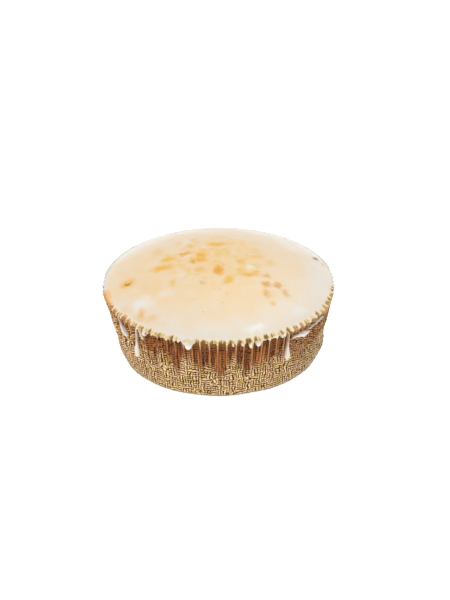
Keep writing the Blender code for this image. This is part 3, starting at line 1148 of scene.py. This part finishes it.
def paint(mesh):
    """Writes the marks of the glaze on the points of its mesh."""
    values = {name: [] for name in MARKS}
    edge = settings().glaze.edge_radius
    for vertex in mesh.vertices:
        away = vertex.co.xy.length
        x, y = vertex.co.x / MM, vertex.co.y / MM
        marks = marks_at(x, y) if away < edge else (0, 0, 0, 0, 0)
        # Within the rim, only the far side gets painted shade.
        marks += rim_marks_at(vertex.co) if away > edge - 0.004 else (0, 0, 0.23 * smooth(50, 56, y))
        for name, mark in zip(MARKS, marks):
            values[name].append(mark)
    for name in MARKS:
        mesh.attributes.new(name, "FLOAT", "POINT").data.foreach_set("value", values[name])


class CAKE_OT_glaze(bpy.types.Operator):
    """Replaces the plain glaze by a poured sheet that fills the folds at the rim, with its runs"""

    bl_idname = "cake.glaze"
    bl_label = "Glaze"

    def execute(self, context):
        piece = new_piece("poured_glaze", glaze_sheet(), glaze_material(), ["glaze"])
        runs = bpy.data.collections.new("runs")
        context.scene.collection.children.link(runs)
        shapes = [run_shape(*run) for run in RUNS] + [ribbon_shape(line) for line in RIBBONS]
        for shape in shapes:
            runs.objects.link(bpy.data.objects.new("run", mesh_of("run", shape)))
        join = piece.modifiers.new("join", "BOOLEAN")
        join.operation = "UNION"
        join.operand_type = "COLLECTION"
        join.collection = runs
        join.solver = "MANIFOLD"
        bake_modifiers(piece)
        for item in list(runs.objects):
            bpy.data.objects.remove(item)
        bpy.data.collections.remove(runs)
        piece.data.shade_smooth()
        paint(piece.data)
        return {"FINISHED"}


# Poppy seeds

# The seeds that the photo shows most clearly: (x, y) in mm.
SEEN = ((0.9, -37.3), (5.2, -40.9), (-9.0, -56.0), (-10.2, -32.1))


def seed_material():
    """Poppy seeds seen through a film of glaze: slate grey gone soft and pale."""
    made, shader, add = new_material("glazed_poppy_seed")
    spots = add.noise(add.node("TexCoord", output="Object"), 900)
    face = add.coats(settings().seeds.slate, (spots, 0.3, 0.7, 1, linear("C4B79E")))
    wire(shader, {"Base Color": face, "Roughness": 0.4})
    return made


class CAKE_OT_poppy_seeds(bpy.types.Operator):
    """Sinks a few poppy seeds into the top of the glaze"""

    bl_idname = "cake.poppy_seeds"
    bl_label = "Poppy seeds"

    def execute(self, context):
        seeds = settings().seeds
        draw = random.Random(11)
        shape = bmesh.new()
        places = [Vector((x, y, 0)) * MM for x, y in SEEN]
        while len(places) < seeds.count:
            places.append(around(draw.uniform(-math.pi, math.pi), 0.064 * math.sqrt(draw.random()), 0))
        for place in places:
            place.z = crown_height(place.length) + relief(place.x / MM, place.y / MM) - seeds.size * 0.2
            made = bmesh.ops.create_icosphere(shape, subdivisions=2, radius=seeds.size / 2)["verts"]
            bmesh.ops.scale(shape, vec=(1, 0.78, 0.72), verts=made)
            turn = Matrix.Rotation(draw.uniform(0, math.pi), 3, "Z")
            bmesh.ops.rotate(shape, cent=(0, 0, 0), matrix=turn, verts=made)
            bmesh.ops.translate(shape, vec=place, verts=made)
        new_piece("poppy_seeds", shape, seed_material())
        return {"FINISHED"}


# Stage


def sun(name, azimuth, elevation, strength, spread, shade):
    """A soft, far light. The azimuth is degrees from the front towards +X."""
    lamp = bpy.data.lights.new(name, "SUN")
    lamp.energy = strength
    lamp.angle = math.radians(spread)
    lamp.color = shade
    high = math.radians(elevation)
    direction = around(math.radians(azimuth), math.cos(high), math.sin(high))
    linked(name, lamp).rotation_euler = (-direction).to_track_quat("-Z", "Y").to_euler()


class CAKE_OT_stage(bpy.types.Operator):
    """Sets the camera, the soft lights and the pale floor"""

    bl_idname = "cake.stage"
    bl_label = "Stage"

    def execute(self, context):
        stage = settings().stage
        scene = context.scene
        lens = bpy.data.cameras.new("camera")
        lens.lens = stage.lens
        lens.sensor_width = 36
        lens.clip_start = 0.01
        camera = linked("camera", lens)
        back = Vector((0, -math.cos(stage.elevation), math.sin(stage.elevation)))
        up = Vector((0, math.sin(stage.elevation), math.cos(stage.elevation)))
        middle = Vector((0, 0, settings().case.height / 2))
        camera.location = middle + back * stage.distance + Vector((stage.aside, 0, 0)) + up * stage.above
        camera.rotation_euler = (math.pi / 2 - stage.elevation, 0, 0)
        scene.camera = camera

        shape = bmesh.new()
        bmesh.ops.create_circle(shape, cap_ends=True, segments=96, radius=3.0)
        floor = linked("floor", mesh_of("floor", shape))
        # A matte white paper sweep, lit evenly enough to stay white.
        made, shader, _ = new_material("pale_sweep")
        wire(shader, {"Base Color": stage.floor, "Roughness": 0.9, "Specular IOR Level": 0.1})
        wire(shader, {"Emission Color": stage.floor, "Emission Strength": 0.6})
        floor.data.materials.append(made)

        scene.world = bpy.data.worlds.new("studio")
        scene.world.use_nodes = True
        wire(scene.world.node_tree.nodes["Background"], {"Color": (1, 1, 1), "Strength": 0.52})
        sun("overhead", 152, 64, 1.70, 50, (1, 0.99, 0.98))
        sun("key", -40, 18, 0.85, 60, (1, 0.98, 0.95))
        scene.view_settings.view_transform = "Standard"
        scene.view_settings.look = "None"
        return {"FINISHED"}


class CakeSettings(bpy.types.PropertyGroup):
    case: PointerProperty(type=CaseSettings)
    glaze: PointerProperty(type=GlazeSettings)
    seeds: PointerProperty(type=SeedSettings)
    stage: PointerProperty(type=StageSettings)


class CAKE_PT_panel(bpy.types.Panel):
    bl_label = "Cake"
    bl_space_type = "VIEW_3D"
    bl_region_type = "UI"
    bl_category = "Cake"

    def draw(self, context):
        for operator in OPERATORS:
            self.layout.operator(operator.bl_idname)
        cake = context.scene.cake
        for group in (cake.case, cake.glaze, cake.seeds, cake.stage):
            box = self.layout.box()
            for name in group.__annotations__:
                box.prop(group, name)


OPERATORS = (CAKE_OT_stage, CAKE_OT_paper_case, CAKE_OT_sponge, CAKE_OT_glaze, CAKE_OT_poppy_seeds)
GROUPS = (CaseSettings, GlazeSettings, SeedSettings, StageSettings, CakeSettings)


def register():
    for kind in (*GROUPS, *OPERATORS, CAKE_PT_panel):
        bpy.utils.register_class(kind)
    bpy.types.Scene.cake = PointerProperty(type=CakeSettings)


def unregister():
    del bpy.types.Scene.cake
    for kind in (CAKE_PT_panel, *reversed(OPERATORS), *reversed(GROUPS)):
        bpy.utils.unregister_class(kind)


def main():
    register()
    bpy.ops.cake.stage()
    bpy.ops.cake.paper_case()
    bpy.ops.cake.sponge()
    bpy.ops.cake.glaze()
    bpy.ops.cake.poppy_seeds()


if __name__ == "__main__":
    main()
